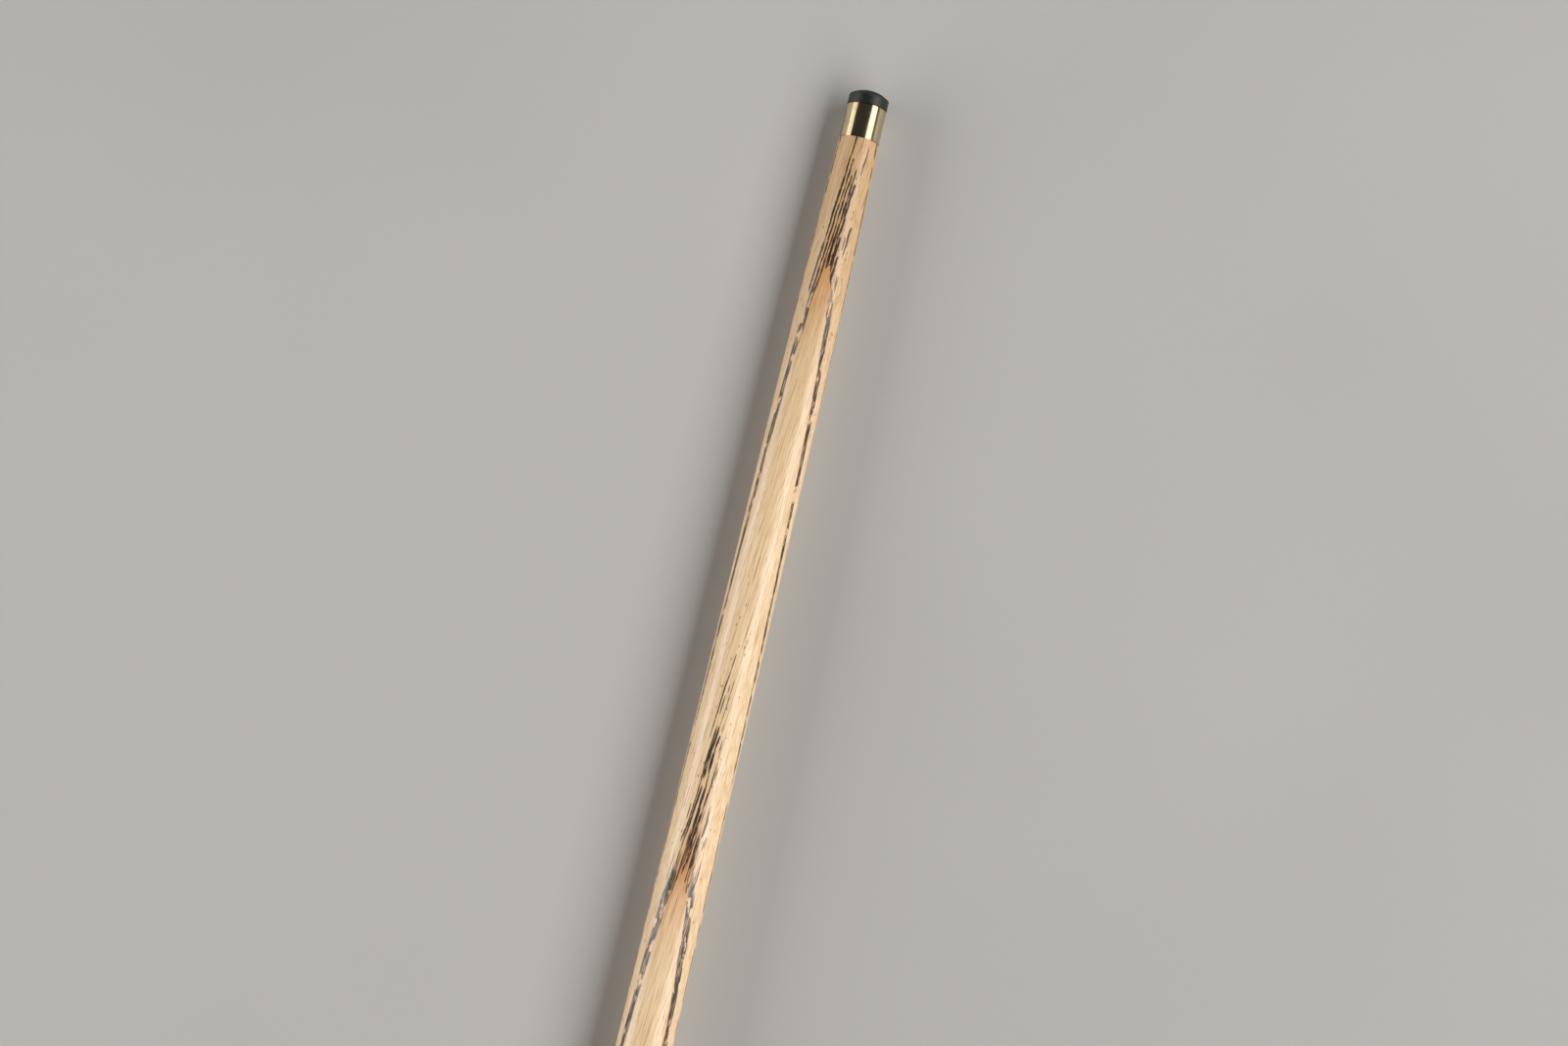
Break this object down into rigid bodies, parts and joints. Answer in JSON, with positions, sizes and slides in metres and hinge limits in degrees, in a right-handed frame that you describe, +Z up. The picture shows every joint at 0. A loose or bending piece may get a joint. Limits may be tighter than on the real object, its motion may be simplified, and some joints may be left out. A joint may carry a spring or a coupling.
{
  "type": "snooker cue",
  "caption": "Jointed snooker cue: tapered ash shaft with domed leather tip and brass ferrule, brass screw joint, spliced ebony butt, rubber bumper and threaded extension socket.",
  "frame": {"origin": "centre of the extension socket's thread at its mouth, in the middle of the butt end", "axes": "+X along the cue from the butt to the tip, +Z up through the badge flat and the shaft's grain points"},
  "size_m": [1.4598, 0.0308, 0.029],
  "materials": {
    "tip_leather": "pressed leather, dark green-black, lightly chalked and matt",
    "ferrule_brass": "turned and polished",
    "shaft_ash": "pale ash, dark-filled open grain, thin satin oil",
    "joint_brass": "turned, polished",
    "washer_fibre": "black vulcanised fibre",
    "butt_ash": "pale ash, satin oil",
    "ebony": "near-black ebony, satin oil",
    "maple_veneer": "pale maple veneer, satin oil",
    "accent_wood": "red-brown rosewood, satin oil",
    "weight_steel": "turned steel rod",
    "bumper_rubber": "moulded black rubber, matt",
    "badge_brass": "plain brushed plate"
  },
  "bodies": {
    "shaft": {"cue_tip": "tip_leather", "ferrule": "ferrule_brass", "shaft": "shaft_ash", "joint_socket": "joint_brass"},
    "washer": {"joint_washer": "washer_fibre"},
    "butt": {"joint_pin": "joint_brass", "butt_core": "butt_ash", "weight_rod": "weight_steel", "extension_socket": "joint_brass", "bumper": "bumper_rubber", "badge_plate": "badge_brass", "ebony_splice_top": "ebony", "ebony_splice_bottom": "ebony", "ebony_splice_left": "ebony", "ebony_splice_right": "ebony", "veneer_top": "maple_veneer", "veneer_bottom": "maple_veneer", "veneer_left": "maple_veneer", "veneer_right": "maple_veneer", "accent_splice_top": "accent_wood", "accent_splice_bottom": "accent_wood", "accent_splice_left": "accent_wood", "accent_splice_right": "accent_wood"}
  },
  "joints": [
    {"name": "joint_draw", "type": "slide", "parent": "shaft", "child": "washer", "axis": [-1, 0, 0], "range_m": [0, 0.0241]},
    {"name": "joint_turn", "type": "hinge", "parent": "washer", "child": "butt", "pos_m": [0.418, 0, 0], "axis": [-1, 0, 0], "range_deg": [0, 4320]}
  ],
  "couplings": [
    {"joint": "joint_draw", "follows": "joint_turn", "m_per_rad": 0.00031831}
  ]
}
